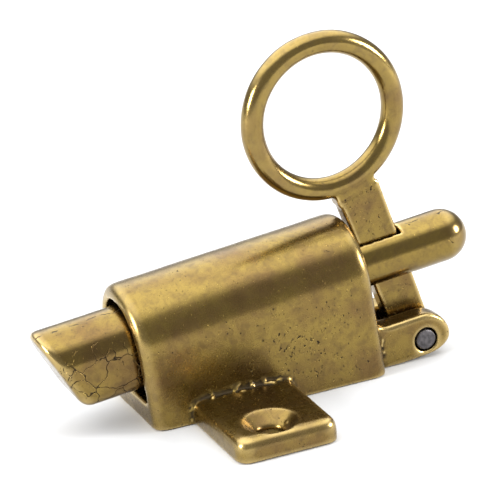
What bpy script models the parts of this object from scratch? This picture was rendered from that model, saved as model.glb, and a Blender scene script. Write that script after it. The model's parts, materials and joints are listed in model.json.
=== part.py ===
"""Ring-pull spring bolt: a brass toggle bolt latch for a fanlight, cupboard or hatch.

The origin is on the mounting face, halfway between the two screw holes. +Z stands up from the
face, +X runs from the bolt's tip towards its tail, and the bolt rises towards its tail by BOLT_TILT.
Lengths are written in millimetres and turned into metres by MM where Blender needs them.
"""
import math

import bmesh
import bpy
from mathutils import Matrix, Vector

MM = 0.001

# Clearances
FIT_GAP = 0.3            # between pieces that touch on the real latch
BOLT_CLEARANCE = 0.95    # round the bolt head in its bore
BOLT_FLOOR_GAP = 1.9     # under the bolt head
ROD_CLEARANCE = 0.35     # round the tail rod in the end wall
PIN_CLEARANCE = 0.2      # round the pivot pin, in the lugs and in the lever
LEVER_SIDE_GAP = 0.4     # each side of the lever, in the clevis and in the tail rod's slot
FOOT_CLEARANCE = 0.35    # from the lever's foot down to the mounting face

# Bolt
BOLT_TILT = math.radians(5.4)
MOUTH_HEIGHT = 11.52     # of the bolt's axis above the mounting face, at the mouth
BOLT_RADIUS = 5.4
BOLT_DEPTH = 6.1         # from the bolt's axis down to its flat underside
BOLT_CORNER = 1.8
BORE_CORNER = 1.4
BOLT_REACH = 13.2        # of the tip out of the mouth, along the top
BOLT_BEVEL = math.radians(22.0)
BOLT_EDGE = 1.3
SPIGOT_RADIUS = 2.5
SPIGOT_LENGTH = 8.0
ROD_RADIUS = 3.95
ROD_TIP_BEYOND_PIN = 11.1

# Return spring
SPRING_LENGTH = 18.0
SPRING_WIRE = 0.8
SPRING_TURNS = 7
SPRING_ROD_GAP = 0.38

# Housing
HOUSING_LENGTH = 36.6
HOUSING_WALL = 2.05
END_WALL = 3.6
HOUSING_EDGE = 1.6

# Screw ears
HOLE_FROM_MOUTH = 13.7
EAR_BEHIND_HOLE = 0.95   # middle of the ear, from its screw hole towards the tail
EAR_ROOT_WIDTH = 15.6
EAR_TIP_WIDTH = 15.4
EAR_REACH = 17.0         # out from the housing's side
EAR_THICKNESS = 3.6
EAR_CORNER = 2.0
EAR_EDGE = 1.5
HOLE_FROM_SIDE = 12.0
HOLE_RADIUS = 2.1
COUNTERSINK_RADIUS = 4.1

# Clevis lugs and pivot pin
PIN_BEYOND_END = 7.75    # from the housing's end face, along the bolt's axis
PIN_HEIGHT = 2.9         # above the mounting face
PIN_RADIUS = 1.58
LUG_RADIUS = 4.1
LUG_DEPTH = 2.6          # from the pin down to the flat underside
LUG_THICKNESS = 3.8
LUG_EDGE = 1.2
LUG_FILLET = 2.2         # where the lugs' top meets the end face
LUG_ROOT = 2.0           # how far the lugs run into the end wall

# Lever and ring
LEVER_TRAVEL = math.radians(33.0)
LEVER_THICKNESS = 3.2
LEVER_TOP_WIDTH = 6.8
LEVER_FOOT_WIDTH = 5.9
LEVER_EDGE = 0.35
RING_FROM_PIN = 37.6     # ring centre, along the lever
RING_OFFSET = 0.5        # ring centre, from the middle of the lever towards the mouth
RING_RADIUS = 11.05      # to the middle of the ring's wire
RING_WIRE_RADIUS = 1.7

# How finely round shapes are divided
ARCH_STEPS = 28
ROUND_STEPS = 48
CORNER_STEPS = 5
SPRING_STEPS = 14
RING_STEPS = 84
RING_WIRE_STEPS = 20

# Worked out from the sizes above
BORE_RADIUS = BOLT_RADIUS + BOLT_CLEARANCE
BORE_DEPTH = BOLT_DEPTH + BOLT_FLOOR_GAP
HOUSING_RADIUS = BORE_RADIUS + HOUSING_WALL
MOUTH_X = -HOLE_FROM_MOUTH
BORE_END = HOUSING_LENGTH - END_WALL
HEAD_BACK = BORE_END - SPRING_LENGTH - 2 * FIT_GAP
SPRING_RADIUS = ROD_RADIUS + SPRING_ROD_GAP + SPRING_WIRE / 2
SLOT_WIDTH = LEVER_THICKNESS + 2 * LEVER_SIDE_GAP
LUG_INNER = SLOT_WIDTH / 2
LUG_OUTER = LUG_INNER + LUG_THICKNESS
FOOT_DEPTH = PIN_HEIGHT - FOOT_CLEARANCE
PIN_U = HOUSING_LENGTH + PIN_BEYOND_END
PIN_W = (PIN_HEIGHT - MOUTH_HEIGHT - PIN_U * math.sin(BOLT_TILT)) / math.cos(BOLT_TILT)
LEVER_ARM = -PIN_W       # height of the bolt's axis above the pin, square to the axis
RING_INSIDE_REACH = RING_FROM_PIN - RING_RADIUS - RING_WIRE_RADIUS
LEVER_TAPER = math.atan2((LEVER_TOP_WIDTH - LEVER_FOOT_WIDTH) / 2, RING_INSIDE_REACH)
LEVER_SIDE = LEVER_FOOT_WIDTH / 2 * math.cos(LEVER_TAPER)   # from the pin square to a narrow face
SIDE_DEPTH = MOUTH_HEIGHT + HOUSING_LENGTH   # deep enough to be trimmed by the mounting face

# Local axes of flat outlines: across the bolt's axis, and in the plane that the lever swings in
ACROSS = Matrix(((0, 0, 1), (1, 0, 0), (0, 1, 0))).to_4x4()
UPRIGHT = Matrix.Rotation(math.radians(90), 4, "X")


def lever_lean():
    """Angle of the lever from square to the bolt's axis when it rests on the housing's end."""
    stop_u = HOUSING_LENGTH - HOUSING_EDGE - PIN_U
    stop_w = HOUSING_RADIUS - HOUSING_EDGE + LEVER_ARM
    away = HOUSING_EDGE + FIT_GAP + LEVER_SIDE
    edge_lean = -math.atan2(stop_u, stop_w) - math.asin(away / math.hypot(stop_u, stop_w))
    return edge_lean - LEVER_TAPER


LEVER_LEAN = lever_lean()


def lever_back(turned, height):
    """The lever's tail-side face at a height above the pin, from the pin along the bolt's axis."""
    lean = LEVER_LEAN - LEVER_TAPER - turned
    return LEVER_SIDE / math.cos(lean) - height * math.tan(lean)


def lever_front(turned, height):
    """The lever's mouth-side face, measured in the same way."""
    lean = LEVER_LEAN + LEVER_TAPER - turned
    return -LEVER_SIDE / math.cos(lean) - height * math.tan(lean)


# The lever bears on the top of the slot's back end, which lies along the lever at rest
ROD_TOP = LEVER_ARM + ROD_RADIUS
ROD_UNDERSIDE = LEVER_ARM - ROD_RADIUS
BOLT_TRAVEL = lever_back(LEVER_TRAVEL, ROD_TOP) - lever_back(0.0, ROD_TOP)
BOLT_PER_RADIAN = BOLT_TRAVEL / LEVER_TRAVEL


def slot_front():
    """The slot's front end at rest, from the mouth, so that the lever stays clear of it all the way."""
    steps = 60
    reach = 0.0
    for step in range(steps + 1):
        turned = LEVER_TRAVEL * step / steps
        for height in (ROD_UNDERSIDE, ROD_TOP):
            reach = min(reach, lever_front(turned, height) - BOLT_PER_RADIAN * turned)
    return PIN_U + reach - FIT_GAP


SLOT_FRONT = slot_front()
ROD_TIP = PIN_U + ROD_TIP_BEYOND_PIN


# Scene, materials and placing

for old_object in list(bpy.data.objects):
    bpy.data.objects.remove(old_object, do_unlink=True)

parts = bpy.data.collections.new("toggle_bolt_latch")
bpy.context.scene.collection.children.link(parts)
cutters = bpy.data.collections.new("cutters")
bpy.context.scene.collection.children.link(cutters)
cutters.hide_render = True


def material(name, colour, metallic, roughness):
    made = bpy.data.materials.new(name)
    made.use_nodes = True
    shader = made.node_tree.nodes["Principled BSDF"]
    shader.inputs["Base Color"].default_value = (*colour, 1.0)
    shader.inputs["Metallic"].default_value = metallic
    shader.inputs["Roughness"].default_value = roughness
    made.diffuse_color = (*colour, 1.0)
    return made


def frame(name, location, tilt):
    """An empty whose local axes are turned by tilt about +Y."""
    empty = bpy.data.objects.new(name, None)
    empty.location = Vector(location) * MM
    empty.rotation_euler = (0.0, tilt, 0.0)
    parts.objects.link(empty)
    return empty


def place(made, parent, location=(0, 0, 0), turn=None):
    """Put a piece at a place in its parent's axes, turned by a matrix."""
    made.parent = parent
    made.matrix_parent_inverse = Matrix.Identity(4)
    made.matrix_basis = Matrix.Translation(Vector(location) * MM) @ (turn or Matrix.Identity(4))
    bpy.context.view_layer.update()


def keep(made, finish):
    """Name a piece's material and shade its round faces smooth."""
    made.data.materials.clear()
    made.data.materials.append(finish)
    if made.type == "MESH":
        made.data.shade_smooth()
        made.data.set_sharp_from_angle(angle=math.radians(32))


def as_cutter(made):
    """A guide that only shapes other pieces: the build leaves it out."""
    for collection in list(made.users_collection):
        collection.objects.unlink(made)
    cutters.objects.link(made)
    made.hide_render = True
    made.display_type = "WIRE"
    return made


# Shapes

def arc(centre, radius, start, end, steps):
    """Points of an arc from start to end, in degrees."""
    points = []
    for step in range(steps + 1):
        angle = math.radians(start + (end - start) * step / steps)
        points.append((centre[0] + radius * math.cos(angle), centre[1] + radius * math.sin(angle)))
    return points


def plate(name, outline, thickness):
    """A flat outline in local X and Y, as thick as given along local Z and centred on it."""
    curve = bpy.data.curves.new(name, "CURVE")
    curve.dimensions = "2D"
    curve.fill_mode = "BOTH"
    curve.extrude = thickness * MM / 2
    spline = curve.splines.new("POLY")
    spline.points.add(len(outline) - 1)
    for point, (x, y) in zip(spline.points, outline):
        point.co = (x * MM, y * MM, 0.0, 1.0)
    spline.use_cyclic_u = True
    guide = bpy.data.objects.new(name + "_outline", curve)
    parts.objects.link(guide)
    bpy.context.view_layer.update()
    mesh = bpy.data.meshes.new_from_object(guide.evaluated_get(bpy.context.evaluated_depsgraph_get()))
    mesh.name = name
    made = bpy.data.objects.new(name, mesh)
    made.matrix_world = guide.matrix_world
    bpy.data.objects.remove(guide, do_unlink=True)
    shell = bmesh.new()
    shell.from_mesh(mesh)
    bmesh.ops.remove_doubles(shell, verts=shell.verts, dist=0.001 * MM)
    bmesh.ops.dissolve_limit(shell, angle_limit=math.radians(0.5), verts=shell.verts, edges=shell.edges)
    bmesh.ops.recalc_face_normals(shell, faces=shell.faces)
    shell.to_mesh(mesh)
    shell.free()
    parts.objects.link(made)
    return made


def cylinder(name, radius, length, steps=ROUND_STEPS):
    bpy.ops.mesh.primitive_cylinder_add(vertices=steps, radius=radius * MM, depth=length * MM)
    return adopt(name)


def box(name, size):
    """A box of the given lengths along X, Y and Z, centred on its origin."""
    bpy.ops.mesh.primitive_cube_add(size=1.0)
    made = adopt(name)
    made.data.transform(Matrix.Diagonal((*(Vector(size) * MM), 1.0)))
    return made


def turned(name, profile):
    """A solid of revolution about local Z, from a profile that runs down its outer side."""
    mesh = bpy.data.meshes.new(name)
    vertices = [(radius * MM, 0.0, height * MM) for radius, height in profile]
    edges = [(index, index + 1) for index in range(len(profile) - 1)]
    mesh.from_pydata(vertices, edges, [])
    made = bpy.data.objects.new(name, mesh)
    parts.objects.link(made)
    screw = made.modifiers.new("turn", "SCREW")
    screw.axis = "Z"
    screw.steps = ROUND_STEPS
    screw.render_steps = ROUND_STEPS
    screw.use_merge_vertices = True
    screw.merge_threshold = 0.01 * MM
    screw.use_smooth_shade = True
    return made


def adopt(name):
    """Move the object that an operator just added into the parts collection."""
    made = bpy.context.object
    made.name = name
    made.data.name = name
    for collection in list(made.users_collection):
        collection.objects.unlink(made)
    parts.objects.link(made)
    return made


def round_edges(made, width, segments=3, limit=45, clamp=True):
    """Round every edge that turns by more than the limit, in degrees."""
    bevel = made.modifiers.new("round_edges", "BEVEL")
    bevel.use_clamp_overlap = clamp
    bevel.width = width * MM
    bevel.segments = segments
    bevel.limit_method = "ANGLE"
    bevel.angle_limit = math.radians(limit)


def combine(made, other, operation):
    boolean = made.modifiers.new(operation.lower() + "_" + other.name, "BOOLEAN")
    boolean.operation = operation
    boolean.object = as_cutter(other)
    boolean.solver = "EXACT"


def arch_outline(radius, depth, corner):
    """A round-topped section: a half circle, straight sides and a flat underside with round corners."""
    points = arc((0, 0), radius, 0, 180, ARCH_STEPS)
    inset = radius - corner
    points += arc((-inset, corner - depth), corner, 180, 270, CORNER_STEPS)
    points += arc((inset, corner - depth), corner, 270, 360, CORNER_STEPS)
    return points


def arch_bar(name, radius, depth, corner, start, end, parent):
    """A bar of arch section along the bolt's axis, from start to end."""
    made = plate(name, arch_outline(radius, depth, corner), end - start)
    place(made, parent, ((start + end) / 2, 0, 0), ACROSS)
    return made


# Pieces

def ear_outline():
    """Both ears in one plan: a bar across the housing that narrows to round corners at each tip."""
    tip = HOUSING_RADIUS + EAR_REACH
    root = EAR_ROOT_WIDTH / 2
    slope = (root - EAR_TIP_WIDTH / 2) / EAR_REACH
    corner_x = EAR_TIP_WIDTH / 2 - EAR_CORNER * (1 - slope)
    corner_y = tip - EAR_CORNER
    points = [(root, -HOUSING_RADIUS), (root, HOUSING_RADIUS)]
    points += arc((corner_x, corner_y), EAR_CORNER, 0, 90, CORNER_STEPS)
    points += arc((-corner_x, corner_y), EAR_CORNER, 90, 180, CORNER_STEPS)
    points += [(-root, HOUSING_RADIUS), (-root, -HOUSING_RADIUS)]
    points += arc((-corner_x, -corner_y), EAR_CORNER, 180, 270, CORNER_STEPS)
    points += arc((corner_x, -corner_y), EAR_CORNER, 270, 360, CORNER_STEPS)
    return points


def add_ears(housing):
    """Two screw ears on the mounting face, each with a countersunk hole."""
    below = EAR_THICKNESS + EAR_EDGE
    ears = plate("ears", ear_outline(), EAR_THICKNESS + below)
    place(ears, None, (EAR_BEHIND_HOLE, 0, (EAR_THICKNESS - below) / 2))
    round_edges(ears, EAR_EDGE, limit=60)
    combine(housing, ears, "UNION")


def cut_screw_holes(housing):
    for side in (-1, 1):
        depth = COUNTERSINK_RADIUS - HOLE_RADIUS
        above = FIT_GAP
        profile = [
            (0.0, EAR_THICKNESS + above),
            (COUNTERSINK_RADIUS + above, EAR_THICKNESS + above),
            (HOLE_RADIUS, EAR_THICKNESS - depth),
            (HOLE_RADIUS, -EAR_THICKNESS),
            (0.0, -EAR_THICKNESS),
        ]
        hole = turned("screw_hole", profile)
        place(hole, None, (0, side * (HOUSING_RADIUS + HOLE_FROM_SIDE), 0))
        combine(housing, hole, "DIFFERENCE")


def add_lugs(housing, bolt_axis):
    """The two clevis lugs that hold the pin, one each side of the lever."""
    for side in (-1, 1):
        outline = arc((0, 0), LUG_RADIUS, 90, 0, ROUND_STEPS // 4)
        flatten = LUG_DEPTH / LUG_RADIUS
        outline += [(x, y * flatten) for x, y in arc((0, 0), LUG_RADIUS, 0, -90, ROUND_STEPS // 4)[1:]]
        root = -PIN_BEYOND_END - LUG_ROOT
        outline += [(root, -LUG_DEPTH), (root, LUG_RADIUS + LUG_FILLET)]
        fillet_centre = (-PIN_BEYOND_END + LUG_FILLET, LUG_RADIUS + LUG_FILLET)
        outline += arc(fillet_centre, LUG_FILLET, 180, 270, CORNER_STEPS)
        lug = plate("lug", outline, LUG_THICKNESS)
        place(lug, bolt_axis, (PIN_U, side * (LUG_INNER + LUG_THICKNESS / 2), PIN_W), UPRIGHT)
        round_edges(lug, LUG_EDGE)
        combine(housing, lug, "UNION")


def make_housing(bolt_axis, finish):
    """The casting: arch-shaped body, screw ears, clevis lugs, bolt bore and rod bore."""
    corner = 2 * HOUSING_EDGE
    housing = arch_bar("housing", HOUSING_RADIUS, SIDE_DEPTH, corner, 0, HOUSING_LENGTH, bolt_axis)
    round_edges(housing, HOUSING_EDGE, segments=4)
    add_ears(housing)
    add_lugs(housing, bolt_axis)
    bore = arch_bar("bolt_bore", BORE_RADIUS, BORE_DEPTH, BORE_CORNER, -HOUSING_EDGE, BORE_END, bolt_axis)
    combine(housing, bore, "DIFFERENCE")
    rod_bore = cylinder("rod_bore", ROD_RADIUS + ROD_CLEARANCE, 2 * END_WALL)
    place(rod_bore, bolt_axis, (HOUSING_LENGTH - END_WALL / 2, 0, 0), Matrix.Rotation(math.radians(90), 4, "Y"))
    combine(housing, rod_bore, "DIFFERENCE")
    pin_bore = cylinder("pin_bore", PIN_RADIUS + PIN_CLEARANCE, 2 * LUG_OUTER + 2 * LUG_EDGE)
    place(pin_bore, bolt_axis, (PIN_U, 0, PIN_W), UPRIGHT)
    combine(housing, pin_bore, "DIFFERENCE")
    cut_screw_holes(housing)
    under_size = 4 * (HOUSING_LENGTH + PIN_U)
    under = box("under_mounting_face", (under_size, under_size, under_size))
    place(under, None, (0, 0, -under_size / 2))
    combine(housing, under, "DIFFERENCE")
    keep(housing, finish)


def make_bolt_head(bolt_axis, finish):
    """The sliding bolt: a bar of arch section, its tip cut on the slant and bored for the tail rod."""
    head = arch_bar("bolt_head", BOLT_RADIUS, BOLT_DEPTH, BOLT_CORNER, -BOLT_REACH, HEAD_BACK, bolt_axis)
    size = 2 * (BOLT_REACH + BOLT_DEPTH)
    slant = box("bolt_slant", (size, size, size))
    turn = Matrix.Rotation(-BOLT_BEVEL, 4, "Y")
    tip = Vector((-BOLT_REACH, 0, BOLT_RADIUS))
    place(slant, bolt_axis, tip - turn.to_3x3() @ Vector((size / 2, 0, 0)), turn)
    combine(head, slant, "DIFFERENCE")
    round_edges(head, BOLT_EDGE, clamp=False)
    socket = cylinder("spigot_socket", SPIGOT_RADIUS + FIT_GAP, 2 * (SPIGOT_LENGTH + FIT_GAP))
    place(socket, bolt_axis, (HEAD_BACK, 0, 0), Matrix.Rotation(math.radians(90), 4, "Y"))
    combine(head, socket, "DIFFERENCE")
    keep(head, finish)


def make_tail_rod(bolt_axis, finish):
    """The round tail: a spigot into the bolt head, a slot for the lever and a domed end."""
    shoulder = HEAD_BACK + FIT_GAP
    profile = [(x, y + ROD_TIP - ROD_RADIUS) for x, y in arc((0, 0), ROD_RADIUS, 90, 0, 12)]
    profile[0] = (0.0, ROD_TIP)
    profile += [
        (ROD_RADIUS, shoulder),
        (SPIGOT_RADIUS, shoulder),
        (SPIGOT_RADIUS, HEAD_BACK - SPIGOT_LENGTH),
        (0.0, HEAD_BACK - SPIGOT_LENGTH),
    ]
    rod = turned("tail_rod", profile)
    place(rod, bolt_axis, (0, 0, 0), Matrix.Rotation(math.radians(90), 4, "Y"))
    outline = [(SLOT_FRONT, -2 * ROD_RADIUS)]
    for height in (-2 * ROD_RADIUS, 2 * ROD_RADIUS):
        outline.append((PIN_U + lever_back(0.0, LEVER_ARM + height) + FIT_GAP, height))
    outline.append((SLOT_FRONT, 2 * ROD_RADIUS))
    slot = plate("lever_slot", outline, SLOT_WIDTH)
    place(slot, bolt_axis, (0, 0, 0), UPRIGHT)
    combine(rod, slot, "DIFFERENCE")
    keep(rod, finish)


def make_spring(bolt_axis, finish):
    """The compression spring round the tail rod, between the bolt head and the end wall."""
    curve = bpy.data.curves.new("return_spring", "CURVE")
    curve.dimensions = "3D"
    curve.bevel_depth = SPRING_WIRE * MM / 2
    curve.bevel_resolution = 2
    curve.use_fill_caps = True
    spline = curve.splines.new("POLY")
    count = SPRING_TURNS * SPRING_STEPS
    spline.points.add(count)
    start = HEAD_BACK + FIT_GAP + SPRING_WIRE / 2
    rise = SPRING_LENGTH - SPRING_WIRE
    for index, point in enumerate(spline.points):
        angle = 2 * math.pi * index / SPRING_STEPS
        along = start + rise * index / count
        across = (SPRING_RADIUS * math.cos(angle), SPRING_RADIUS * math.sin(angle))
        point.co = (along * MM, across[0] * MM, across[1] * MM, 1.0)
    spring = bpy.data.objects.new("return_spring", curve)
    parts.objects.link(spring)
    place(spring, bolt_axis)
    keep(spring, finish)


def make_pivot_pin(bolt_axis, finish):
    pin = cylinder("pivot_pin", PIN_RADIUS, 2 * LUG_OUTER - FIT_GAP, steps=32)
    place(pin, bolt_axis, (PIN_U, 0, PIN_W), UPRIGHT)
    round_edges(pin, FIT_GAP / 2, segments=1)
    keep(pin, finish)


def make_lever_arm(lever, finish):
    """The flat arm: round foot on the pin, sides that widen upwards, hollow end under the ring."""
    seat = RING_RADIUS + RING_WIRE_RADIUS + FIT_GAP
    right = 270 + math.degrees(math.asin((LEVER_TOP_WIDTH / 2 + RING_OFFSET) / seat))
    left = 270 - math.degrees(math.asin((LEVER_TOP_WIDTH / 2 - RING_OFFSET) / seat))
    flatten = FOOT_DEPTH / (LEVER_FOOT_WIDTH / 2)
    outline = [(x, y * flatten) for x, y in arc((0, 0), LEVER_FOOT_WIDTH / 2, 180, 360, ROUND_STEPS // 2)]
    outline += arc((-RING_OFFSET, RING_FROM_PIN), seat, right, left, 2 * CORNER_STEPS)
    arm = plate("lever_arm", outline, LEVER_THICKNESS)
    place(arm, lever, (0, 0, 0), UPRIGHT)
    round_edges(arm, LEVER_EDGE, segments=2)
    eye = cylinder("lever_eye", PIN_RADIUS + PIN_CLEARANCE, 2 * LEVER_THICKNESS)
    place(eye, lever, (0, 0, 0), UPRIGHT)
    combine(arm, eye, "DIFFERENCE")
    keep(arm, finish)


def make_pull_ring(lever, finish):
    bpy.ops.mesh.primitive_torus_add(
        major_segments=RING_STEPS, minor_segments=RING_WIRE_STEPS,
        major_radius=RING_RADIUS * MM, minor_radius=RING_WIRE_RADIUS * MM)
    ring = adopt("pull_ring")
    ring.data.transform(UPRIGHT @ Matrix.Rotation(math.radians(90), 4, "Z"))
    place(ring, lever, (-RING_OFFSET, 0, RING_FROM_PIN))
    keep(ring, finish)


cast_brass = material("aged_cast_brass", (0.46, 0.34, 0.13), 1.0, 0.28)
bolt_brass = material("aged_turned_brass", (0.48, 0.36, 0.15), 1.0, 0.24)
lever_brass = material("aged_rolled_brass", (0.47, 0.36, 0.15), 1.0, 0.3)
pin_steel = material("worn_steel", (0.3, 0.31, 0.33), 1.0, 0.45)
spring_steel = material("spring_steel", (0.36, 0.36, 0.37), 1.0, 0.35)

bolt_axis = frame("bolt_axis", (MOUTH_X, 0, MOUTH_HEIGHT), -BOLT_TILT)
pin_x = MOUTH_X + PIN_U * math.cos(BOLT_TILT) - PIN_W * math.sin(BOLT_TILT)
lever = frame("lever", (pin_x, 0, PIN_HEIGHT), -BOLT_TILT - LEVER_LEAN)
bpy.context.view_layer.update()

make_housing(bolt_axis, cast_brass)
make_bolt_head(bolt_axis, bolt_brass)
make_tail_rod(bolt_axis, bolt_brass)
make_spring(bolt_axis, spring_steel)
make_pivot_pin(bolt_axis, pin_steel)
make_lever_arm(lever, lever_brass)
make_pull_ring(lever, lever_brass)

print("pin at x %.3f mm, lever leans %.2f deg, bolt travels %.3f mm or %.3f mm per radian, slot front %.2f mm" % (
    pin_x, math.degrees(LEVER_LEAN), BOLT_TRAVEL, BOLT_PER_RADIAN, SLOT_FRONT))
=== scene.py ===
"""Looks of the brass toggle bolt latch: finer pieces over the frame, aged brass, and a plain studio.

The pieces are in metres in the frame's own axes, like the frame. Lengths written in millimetres are
turned into metres by MM, and the materials count in millimetres too.
"""

import json
import math

import bmesh
import bpy
import numpy as np
from mathutils import Matrix, Vector, noise


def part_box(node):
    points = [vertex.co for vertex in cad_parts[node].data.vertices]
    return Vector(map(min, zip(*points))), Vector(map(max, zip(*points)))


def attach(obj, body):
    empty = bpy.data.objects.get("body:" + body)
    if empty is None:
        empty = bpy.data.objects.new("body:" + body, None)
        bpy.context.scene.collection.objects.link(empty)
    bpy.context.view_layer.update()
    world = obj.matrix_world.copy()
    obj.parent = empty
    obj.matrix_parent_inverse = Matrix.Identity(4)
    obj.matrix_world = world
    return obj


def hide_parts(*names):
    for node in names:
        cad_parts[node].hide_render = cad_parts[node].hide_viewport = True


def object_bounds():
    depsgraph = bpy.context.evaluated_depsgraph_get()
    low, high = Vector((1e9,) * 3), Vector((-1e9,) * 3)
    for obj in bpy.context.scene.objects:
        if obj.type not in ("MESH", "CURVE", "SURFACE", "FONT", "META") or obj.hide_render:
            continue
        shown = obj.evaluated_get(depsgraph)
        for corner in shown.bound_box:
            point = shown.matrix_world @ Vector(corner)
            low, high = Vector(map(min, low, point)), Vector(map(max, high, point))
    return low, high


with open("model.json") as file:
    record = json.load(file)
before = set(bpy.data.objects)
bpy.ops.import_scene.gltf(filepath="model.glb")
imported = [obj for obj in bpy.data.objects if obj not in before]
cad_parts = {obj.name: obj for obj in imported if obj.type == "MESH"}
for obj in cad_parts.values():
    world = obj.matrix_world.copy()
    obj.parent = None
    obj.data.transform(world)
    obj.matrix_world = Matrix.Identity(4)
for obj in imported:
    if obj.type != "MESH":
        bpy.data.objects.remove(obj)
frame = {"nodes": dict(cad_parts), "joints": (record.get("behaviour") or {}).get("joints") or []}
cad_low, cad_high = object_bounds()

MM = 0.001

# Camera. The lens and the aim are in millimetres, and the reach in metres.
CAMERA_AZIMUTH = math.radians(-21.3)
CAMERA_ELEVATION = math.radians(21.2)
CAMERA_ROLL = math.radians(5.0)
CAMERA_DISTANCE = 450 * MM
CAMERA_LENS = 224.2
CAMERA_AIM = (7.25, 0.0, 20.9)
CAMERA_REACH = 10.0

# Studio, in metres and watts
FLOOR_SIZE = 6.0
FLOOR_GAP = 0.05 * MM
FLOOR_COLOUR = (0.58, 0.58, 0.58)
SKY_TILT = math.radians(20)
SKY_EDGE = (0.5, 0.75)
SKY_BRIGHT = 3.2
SKY_DARK = 0.45
SOFTBOX_DISTANCE = 0.6
SOFTBOX_SIZE = 0.16
SOFTBOX_POWER = 4.0

# Brass
GOLD = (0.24, 0.163, 0.04)
TAN = (0.17, 0.104, 0.034)
BROWN = (0.085, 0.052, 0.026)
OXIDE = (0.018, 0.012, 0.007)
WORN = (0.62, 0.46, 0.19)
COAT = 0.14

# Braze between the ring and the strip, in millimetres, and its depth as a share of the strip's
BRAZE_WIDTH = 6.6
BRAZE_HEIGHT = 2.2
BRAZE_DEPTH = 0.94
BRAZE_RAGGED = 0.35
BRAZE_RAGGED_SIZE = 1.3

# Lever's mesh: voxel in millimetres, and steps of softening and of measuring its hollows
LEVER_VOXEL = 0.14
LEVER_SOFTENING = 12
LEVER_HOLLOW_STEPS = 22

# Waves of each surface: depth and size in millimetres, and a seed
CAST_WAVES = ((0.045, 6.0, 1.0), (0.014, 2.2, 2.0))
BAR_WAVES = ((0.03, 6.0, 3.0), (0.01, 2.0, 4.0))
PIN_WAVES = ((0.07, 1.6, 5.0),)

# Casting crust in the housing's hollows, in millimetres. A patch of it is CRUST_PATCH lumps wide, and
# it grows from where the hollows are CRUST_FROM deep to where they are CRUST_FULL deep.
CRUST_HEIGHT = 0.55
CRUST_SIZE = 0.9
CRUST_PATCH = 5
CRUST_SEED = 6.0
CRUST_HOLLOW_STEPS = 30
CRUST_FROM = 0.02
CRUST_FULL = 0.08

# Steps of measuring the hollows of a refined piece at this voxel size. Finer ones take more steps.
HOLLOW_STEPS = 12
HOLLOW_VOXEL = 0.2


# Finer meshes

def neighbours(mesh):
    """The ends of every edge, and how many edges meet at each vertex."""
    ends = np.empty(len(mesh.edges) * 2, np.int32)
    mesh.edges.foreach_get("vertices", ends)
    ends = ends.reshape(-1, 2)
    return ends, np.bincount(ends.ravel(), minlength=len(mesh.vertices))[:, None]


def relax(points, ends, count, steps):
    """Points moved step by step halfway to the middle of their neighbours."""
    for _ in range(steps):
        total = np.zeros_like(points)
        for axis in range(3):
            total[:, axis] += np.bincount(ends[:, 0], points[ends[:, 1], axis], len(points))
            total[:, axis] += np.bincount(ends[:, 1], points[ends[:, 0], axis], len(points))
        points = (points + total / count) / 2
    return points


def read_points(mesh):
    """The vertices' places, a row each."""
    points = np.empty(len(mesh.vertices) * 3)
    mesh.vertices.foreach_get("co", points)
    return points.reshape(-1, 3)


def write_points(mesh, points):
    """Move the vertices to those places."""
    mesh.vertices.foreach_set("co", points.astype(np.float32).ravel())
    mesh.update()


def read_normals(mesh):
    """The vertices' normals, a row each."""
    normals = np.empty(len(mesh.vertices) * 3)
    mesh.vertex_normals.foreach_get("vector", normals)
    return normals.reshape(-1, 3)


def noise_at(points, size, seed):
    """Smooth noise between about -1 and 1 at each point, with lumps of that size."""
    shift = Vector((seed, seed * 0.7, seed * 1.3))
    return np.array([noise.noise(Vector(point) / size + shift) for point in points])


def remeshed(mesh, voxel):
    """A copy of a closed mesh, in even small faces."""
    source = bpy.data.objects.new("source", mesh)
    bpy.context.scene.collection.objects.link(source)
    finer = source.modifiers.new("finer", "REMESH")
    finer.mode = "VOXEL"
    finer.voxel_size = voxel
    made = bpy.data.meshes.new_from_object(source.evaluated_get(bpy.context.evaluated_depsgraph_get()))
    bpy.data.objects.remove(source, do_unlink=True)
    return made


def hollowness(mesh, steps):
    """How far each point lies below the surface round it, in millimetres: edges are negative."""
    ends, count = neighbours(mesh)
    points = read_points(mesh)
    broad = relax(points, ends, count, steps)
    return ((broad - points) * read_normals(mesh)).sum(axis=1) / MM


def mark_hollows(mesh, steps):
    """Store the hollowness on the mesh, where the materials read it."""
    hollow = hollowness(mesh, steps)
    mesh.attributes.new("hollow", "FLOAT", "POINT").data.foreach_set("value", hollow.astype(np.float32))


def finish_piece(name, mesh, material, body, node):
    """An object of that mesh and material that rides on a body and stands for a CAD node."""
    mesh.name = name
    mesh.materials.clear()
    mesh.materials.append(material)
    mesh.shade_smooth()
    piece = bpy.data.objects.new(name, mesh)
    bpy.context.scene.collection.objects.link(piece)
    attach(piece, body)
    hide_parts(node)
    return piece


def soften(mesh, steps, waves):
    """Soften a mesh's edges and give it the slight waves of hand polishing."""
    ends, count = neighbours(mesh)
    points = relax(read_points(mesh), ends, count, steps)
    write_points(mesh, points)
    lift = np.zeros(len(points))
    for depth, size, seed in waves:
        lift += depth * MM * noise_at(points, size * MM, seed)
    write_points(mesh, points + read_normals(mesh) * lift[:, None])


def encrust(mesh, height):
    """Raise small lumps of casting crust in a mesh's hollows, thicker in patches."""
    share = np.clip((hollowness(mesh, CRUST_HOLLOW_STEPS) - CRUST_FROM) / (CRUST_FULL - CRUST_FROM), 0.0, 1.0)
    points = read_points(mesh)
    lumps = np.clip(noise_at(points, CRUST_SIZE * MM, CRUST_SEED) * 2.2, 0.0, 1.0)
    patches = noise_at(points, CRUST_PATCH * CRUST_SIZE * MM, CRUST_SEED + 1)
    patches = np.clip(patches * 2.5 + 0.45, 0.15, 1.0)
    write_points(mesh, points + read_normals(mesh) * (height * MM * share * lumps * patches)[:, None])


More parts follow.
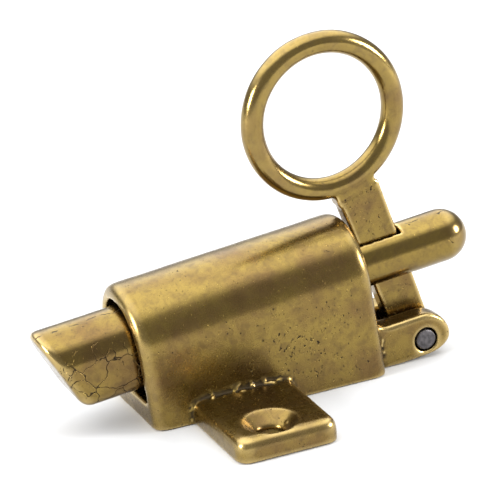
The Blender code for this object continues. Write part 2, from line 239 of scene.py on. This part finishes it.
def refine(name, node, body, material, voxel, steps, waves, crust=0.0):
    """A node's shape in fine faces, with softened edges."""
    mesh = remeshed(frame["nodes"][node].data.copy(), voxel * MM)
    soften(mesh, steps, waves)
    if crust:
        encrust(mesh, crust)
    mark_hollows(mesh, round(HOLLOW_STEPS * (HOLLOW_VOXEL / voxel) ** 2))
    finish_piece(name, mesh, material, body, node)


# Materials

def add(tree, kind, values=None, **settings):
    """A shader node with its settings, and its inputs set to numbers or linked to outputs."""
    made = tree.nodes.new(kind)
    for key, value in settings.items():
        setattr(made, key, value)
    for key, value in (values or {}).items():
        if isinstance(value, bpy.types.NodeSocket):
            tree.links.new(value, made.inputs[key])
        else:
            made.inputs[key].default_value = value
    return made


def grains(tree, coords, scale, detail=4.0, rough=0.55, distortion=0.0):
    """Noise of that many lumps per millimetre."""
    values = {"Vector": coords, "Scale": scale, "Detail": detail}
    values.update({"Roughness": rough, "Distortion": distortion})
    return add(tree, "ShaderNodeTexNoise", values).outputs["Fac"]


def vector_calc(tree, operation, first, second, output=0):
    """One calculation on two vectors."""
    return add(tree, "ShaderNodeVectorMath", {0: first, 1: second}, operation=operation).outputs[output]


def between(tree, value, low, high, to_low=0.0, to_high=1.0):
    """A value rescaled from low and high to two others, and held between them."""
    values = {"Value": value, "From Min": low, "From Max": high, "To Min": to_low, "To Max": to_high}
    return add(tree, "ShaderNodeMapRange", values).outputs["Result"]


def calc(tree, operation, first, second):
    """One calculation on two values."""
    return add(tree, "ShaderNodeMath", {0: first, 1: second}, operation=operation).outputs[0]


def blend_colours(tree, share, first, second):
    """Two colours mixed. Each is three numbers or an output."""
    values = {0: share}
    for key, colour in ((6, first), (7, second)):
        values[key] = colour if isinstance(colour, bpy.types.NodeSocket) else (*colour, 1.0)
    return add(tree, "ShaderNodeMix", values, data_type="RGBA").outputs[2]


def millimetres(tree):
    """The piece's own coordinates in millimetres."""
    own = add(tree, "ShaderNodeTexCoord").outputs["Object"]
    return add(tree, "ShaderNodeVectorMath", {0: own, "Scale": 1 / MM}, operation="SCALE").outputs[0]


def pits(tree, coords, scale, amount, place=None):
    """Small crooked casting pits, 1 inside and 0 outside: in patches, and more of them near a place.

    The scale is in lumps per millimetre, and the place is a centre and a radius in millimetres.
    """
    stretched = vector_calc(tree, "MULTIPLY", coords, (1.25, 1.0, 0.8))
    lumps = grains(tree, stretched, scale, 2.0, 0.5, 0.6)
    patch = grains(tree, coords, 0.3, 3.0)
    if place:
        centre, radius = place
        away = vector_calc(tree, "DISTANCE", coords, centre, "Value")
        patch = calc(tree, "ADD", patch, between(tree, away, radius * 0.3, radius, 0.16, -0.12))
    reach = between(tree, patch, 0.35, 0.75, -0.05, 0.07)
    depth = calc(tree, "ADD", lumps, reach)
    return between(tree, depth, 0.76 - amount, 0.81 - amount)


def cracks(tree, coords, scale, width, place, long_line):
    """A net of fine crazing lines near a place (centre, radius), and a broken wavy line along the bar.

    The wavy line runs above the place's centre, about where Y is long_line, in millimetres.
    """
    sway = add(tree, "ShaderNodeTexNoise", {"Vector": coords, "Scale": 0.4, "Detail": 2.0}).outputs["Color"]
    bent = add(tree, "ShaderNodeVectorMath", {0: sway, "Scale": 3.2}, operation="SCALE").outputs[0]
    moved = vector_calc(tree, "ADD", coords, bent)
    cells = add(tree, "ShaderNodeTexVoronoi", {"Vector": moved, "Scale": scale}, feature="DISTANCE_TO_EDGE")
    line = between(tree, cells.outputs["Distance"], width * 0.35, width, 1.0, 0.0)
    centre, radius = place
    away = vector_calc(tree, "DISTANCE", coords, centre, "Value")
    near = between(tree, away, radius * 0.5, radius, 0.25, -0.2)
    patch = between(tree, calc(tree, "ADD", grains(tree, coords, 0.35, 2.0), near), 0.5, 0.6)
    net = calc(tree, "MULTIPLY", line, patch)
    parts = add(tree, "ShaderNodeSeparateXYZ", {0: coords}).outputs
    wave = between(tree, grains(tree, coords, 0.45, 3.0), 0.0, 1.0, -1.1, 1.1)
    off = calc(tree, "ABSOLUTE", calc(tree, "ADD", calc(tree, "SUBTRACT", parts[1], long_line), wave), 0.0)
    seam = between(tree, off, 0.03, 0.1, 1.0, 0.0)
    broken = between(tree, grains(tree, coords, 0.8, 2.0), 0.46, 0.56)
    upper = between(tree, parts[2], place[0][2], place[0][2] + 1.0)
    seam = calc(tree, "MULTIPLY", calc(tree, "MULTIPLY", seam, broken), upper)
    return calc(tree, "MAXIMUM", net, seam)


def brass(name, seed, patina, pitting, crazing=None, rough=0.2, coarse=0.5):
    """Aged polished brass: brown patches, mottling, pits, crazing, worn edges and oxide in the hollows."""
    made = bpy.data.materials.new(name)
    made.use_nodes = True
    tree = made.node_tree
    shader = tree.nodes["Principled BSDF"]
    own = millimetres(tree)
    coords = vector_calc(tree, "ADD", own, (seed, seed * 2.3, seed * 0.6))
    hollow = add(tree, "ShaderNodeAttribute", attribute_name="hollow").outputs["Fac"]

    broad = grains(tree, coords, 0.13, 3.0, 0.6)
    mottle = grains(tree, coords, 0.7, 8.0, 0.68, 0.4)
    fine = grains(tree, coords, 5.5, 5.0, 0.6)
    brown = between(tree, broad, 0.62 - 0.4 * patina, 0.84 - 0.4 * patina)
    specks = between(tree, mottle, 0.46, 0.74)
    uneven = between(tree, mottle, 0.3, 0.8, -0.012, 0.016)
    dirt = between(tree, calc(tree, "ADD", hollow, uneven), 0.012, 0.06)
    edge = between(tree, hollow, -0.014, -0.06)

    colour = blend_colours(tree, brown, GOLD, TAN)
    colour = blend_colours(tree, between(tree, specks, 0.0, 1.0, 0.0, 0.62), colour, BROWN)
    colour = blend_colours(tree, between(tree, fine, 0.5, 0.75, 0.0, 0.4), colour, BROWN)
    colour = blend_colours(tree, between(tree, edge, 0.0, 1.0, 0.0, 0.7), colour, WORN)
    colour = blend_colours(tree, between(tree, dirt, 0.0, 1.0, 0.0, 0.9), colour, OXIDE)
    marks = pits(tree, own, *pitting)
    if crazing:
        marks = calc(tree, "MAXIMUM", marks, cracks(tree, own, *crazing))
    colour = blend_colours(tree, between(tree, marks, 0.0, 1.0, 0.0, 0.93), colour, OXIDE)
    tree.links.new(colour, shader.inputs["Base Color"])

    shine = between(tree, mottle, 0.25, 0.8, rough - 0.05, rough + 0.13)
    shine = calc(tree, "ADD", shine, between(tree, fine, 0.3, 0.7, -0.02, 0.03))
    shine = calc(tree, "ADD", shine, between(tree, dirt, 0.0, 1.0, 0.0, 0.3))
    shine = calc(tree, "ADD", shine, between(tree, marks, 0.0, 1.0, 0.0, 0.35))
    tree.links.new(shine, shader.inputs["Roughness"])

    height = calc(tree, "MULTIPLY", fine, 0.35)
    height = calc(tree, "ADD", height, calc(tree, "MULTIPLY", mottle, coarse))
    height = calc(tree, "SUBTRACT", height, calc(tree, "MULTIPLY", marks, 2.6))
    bump = add(tree, "ShaderNodeBump", {"Strength": 1.0, "Distance": 0.022 * MM, "Height": height})
    tree.links.new(bump.outputs["Normal"], shader.inputs["Normal"])
    shader.inputs["Metallic"].default_value = 1.0
    shader.inputs["Coat Weight"].default_value = COAT
    shader.inputs["Coat Roughness"].default_value = 0.22
    return made


def steel(name, seed, colour, rough):
    """Grey steel with a rough, blotched face."""
    made = bpy.data.materials.new(name)
    made.use_nodes = True
    tree = made.node_tree
    shader = tree.nodes["Principled BSDF"]
    own = millimetres(tree)
    coords = vector_calc(tree, "ADD", own, (seed, seed, seed))
    blotch = between(tree, grains(tree, coords, 1.6, 5.0, 0.65), 0.3, 0.7)
    fine = grains(tree, coords, 7.0, 4.0, 0.6)
    dark = tuple(part * 0.35 for part in colour)
    tree.links.new(blend_colours(tree, blotch, dark, colour), shader.inputs["Base Color"])
    tree.links.new(between(tree, fine, 0.3, 0.7, rough - 0.1, rough + 0.15), shader.inputs["Roughness"])
    height = calc(tree, "ADD", blotch, fine)
    bump = add(tree, "ShaderNodeBump", {"Strength": 1.0, "Distance": 0.03 * MM, "Height": height})
    tree.links.new(bump.outputs["Normal"], shader.inputs["Normal"])
    shader.inputs["Metallic"].default_value = 1.0
    return made


def in_millimetres(point):
    """A point in metres as three numbers in millimetres."""
    return tuple(value / MM for value in point)


def place_on(node, shares):
    """A point in millimetres, at shares of the way through a node's box."""
    low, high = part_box(node)
    return in_millimetres(low[axis] + shares[axis] * (high[axis] - low[axis]) for axis in range(3))


side_centre = place_on("housing", (0.52, 0.33, 0.3))
bolt_side = place_on("bolt_head", (0.3, 0.0, 0.3))
bolt_bevel = place_on("bolt_head", (0.1, 0.35, 0.35))
rod_side = place_on("tail_rod", (0.9, 0.3, 0.6))

cast_pits = (2.3, 0.09, (side_centre, 12.0))
cast = brass("cast_brass", seed=3.0, patina=0.45, pitting=cast_pits, rough=0.24, coarse=0.5)
bolt_pits = (2.4, 0.09, (bolt_bevel, 5.5))
bolt_crazing = (0.29, 0.022, (bolt_side, 7.5), -0.8)
bolt_finish = brass(
    "crazed_brass", seed=17.0, patina=0.42, pitting=bolt_pits, crazing=bolt_crazing, rough=0.17, coarse=0.4
)
rod_crazing = (0.3, 0.014, (rod_side, 3.0), -0.6)
rod_finish = brass(
    "rod_brass", seed=29.0, patina=0.4, pitting=(2.0, 0.0), crazing=rod_crazing, rough=0.16, coarse=0.35
)
arm_finish = brass("strip_brass", seed=41.0, patina=0.5, pitting=(2.4, 0.09), rough=0.22, coarse=0.6)
ring_finish = brass("ring_brass", seed=53.0, patina=0.35, pitting=(2.0, 0.01), rough=0.16, coarse=0.35)
pin_finish = steel("pin_steel", seed=5.0, colour=(0.17, 0.158, 0.162), rough=0.45)
spring_finish = steel("spring_wire", seed=9.0, colour=(0.36, 0.36, 0.37), rough=0.35)

refine(
    "housing_casting", "housing", "housing", cast,
    voxel=0.21, steps=14, waves=CAST_WAVES, crust=CRUST_HEIGHT
)
refine(
    "bolt_bar", "bolt_head", "bolt", bolt_finish,
    voxel=0.15, steps=12, waves=BAR_WAVES
)
refine(
    "tail_bar", "tail_rod", "bolt", rod_finish,
    voxel=0.15, steps=6, waves=BAR_WAVES
)
refine(
    "rivet_pin", "pivot_pin", "housing", pin_finish,
    voxel=0.1, steps=8, waves=PIN_WAVES
)


def add_lever():
    """The strip and the ring as one brazed shape, parted into two pieces along the braze line."""
    ring_low, ring_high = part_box("pull_ring")
    centre = (ring_low + ring_high) / 2
    hinge = Vector(next(joint["pos_m"] for joint in frame["joints"] if joint["name"] == "lever_hinge"))
    down = (hinge - centre).normalized()
    joint = centre + down * (ring_high.x - ring_low.x) / 2
    arm_low, arm_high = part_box("lever_arm")
    deep = arm_high.y - arm_low.y
    shell = bmesh.new()
    for node in ("pull_ring", "lever_arm"):
        shell.from_mesh(frame["nodes"][node].data)
    across = Vector((0.0, 1.0, 0.0))
    turn = Matrix((across.cross(-down), across, -down)).transposed().to_4x4()
    size = Matrix.Diagonal((BRAZE_WIDTH * MM, deep * BRAZE_DEPTH, BRAZE_HEIGHT * MM, 1.0))
    bmesh.ops.create_cube(shell, size=1.0, matrix=Matrix.Translation(joint) @ turn @ size)
    joined = bpy.data.meshes.new("joined")
    shell.to_mesh(joined)
    shell.free()
    mesh = remeshed(joined, LEVER_VOXEL * MM)
    soften(mesh, LEVER_SOFTENING, BAR_WAVES)
    mark_hollows(mesh, LEVER_HOLLOW_STEPS)
    halves = (("finger_ring", "pull_ring", -1, ring_finish), ("lever_strip", "lever_arm", 1, arm_finish))
    for name, node, side, finish in halves:
        half = bmesh.new()
        half.from_mesh(mesh)
        far = []
        for face in half.faces:
            middle = face.calc_center_median()
            crooked = BRAZE_RAGGED * MM * noise.noise(middle / (BRAZE_RAGGED_SIZE * MM))
            if side * ((middle - joint).dot(down) + crooked) < 0:
                far.append(face)
        bmesh.ops.delete(half, geom=far, context="FACES")
        part = bpy.data.meshes.new(name)
        half.to_mesh(part)
        half.free()
        finish_piece(name, part, finish, "lever", node)


add_lever()

frame["nodes"]["return_spring"].data.materials.clear()
frame["nodes"]["return_spring"].data.materials.append(spring_finish)


# Studio

def add_floor():
    """A plain pale floor just under the mounting face."""
    mesh = bpy.data.meshes.new("floor")
    half = FLOOR_SIZE / 2
    corners = [(-half, -half, 0), (half, -half, 0), (half, half, 0), (-half, half, 0)]
    mesh.from_pydata(corners, [], [(0, 1, 2, 3)])
    floor = bpy.data.objects.new("floor", mesh)
    bpy.context.scene.collection.objects.link(floor)
    floor.location.z = cad_low.z - FLOOR_GAP
    paper = bpy.data.materials.new("floor_paper")
    paper.use_nodes = True
    shader = paper.node_tree.nodes["Principled BSDF"]
    shader.inputs["Base Color"].default_value = (*FLOOR_COLOUR, 1.0)
    shader.inputs["Roughness"].default_value = 0.9
    shader.inputs["Specular IOR Level"].default_value = 0.1
    mesh.materials.append(paper)


def add_sky():
    """Soft light from above and behind, and a dimmer room in front."""
    world = bpy.data.worlds.new("studio")
    world.use_nodes = True
    tree = world.node_tree
    toward = add(tree, "ShaderNodeTexCoord").outputs["Generated"]
    bright_side = (0.0, math.sin(SKY_TILT), math.cos(SKY_TILT))
    height = vector_calc(tree, "DOT_PRODUCT", toward, bright_side, "Value")
    share = between(tree, height, *SKY_EDGE)
    colour = blend_colours(tree, share, (SKY_DARK,) * 3, (SKY_BRIGHT * 0.98, SKY_BRIGHT, SKY_BRIGHT * 1.03))
    tree.links.new(colour, tree.nodes["Background"].inputs["Color"])
    bpy.context.scene.world = world


def add_softbox(name, direction):
    """A square soft light that shines at the latch from a direction."""
    light = bpy.data.lights.new(name, "AREA")
    light.shape = "SQUARE"
    light.size = SOFTBOX_SIZE
    light.energy = SOFTBOX_POWER
    made = bpy.data.objects.new(name, light)
    bpy.context.scene.collection.objects.link(made)
    toward = Vector(direction).normalized()
    made.location = (cad_low + cad_high) / 2 + toward * SOFTBOX_DISTANCE
    made.rotation_euler = toward.to_track_quat("Z", "Y").to_euler()
    made.visible_camera = False


def add_camera():
    """The camera, turned round and above the latch and rolled a little."""
    camera = bpy.data.objects.new("camera", bpy.data.cameras.new("camera"))
    camera.data.lens = CAMERA_LENS
    camera.data.clip_end = CAMERA_REACH
    bpy.context.scene.collection.objects.link(camera)
    flat = math.cos(CAMERA_ELEVATION)
    across = math.sin(CAMERA_AZIMUTH) * flat
    along = -math.cos(CAMERA_AZIMUTH) * flat
    back = Vector((across, along, math.sin(CAMERA_ELEVATION)))
    turn = back.to_track_quat("Z", "Y") @ Matrix.Rotation(-CAMERA_ROLL, 3, "Z").to_quaternion()
    camera.location = Vector(CAMERA_AIM) * MM + back * CAMERA_DISTANCE
    camera.rotation_mode = "QUATERNION"
    camera.rotation_quaternion = turn
    bpy.context.scene.camera = camera


add_floor()
add_sky()
add_softbox("left_softbox", (-0.95, -0.12, 0.3))
add_softbox("right_softbox", (0.84, -0.42, 0.3))
add_camera()
bpy.context.scene.view_settings.view_transform = "Standard"
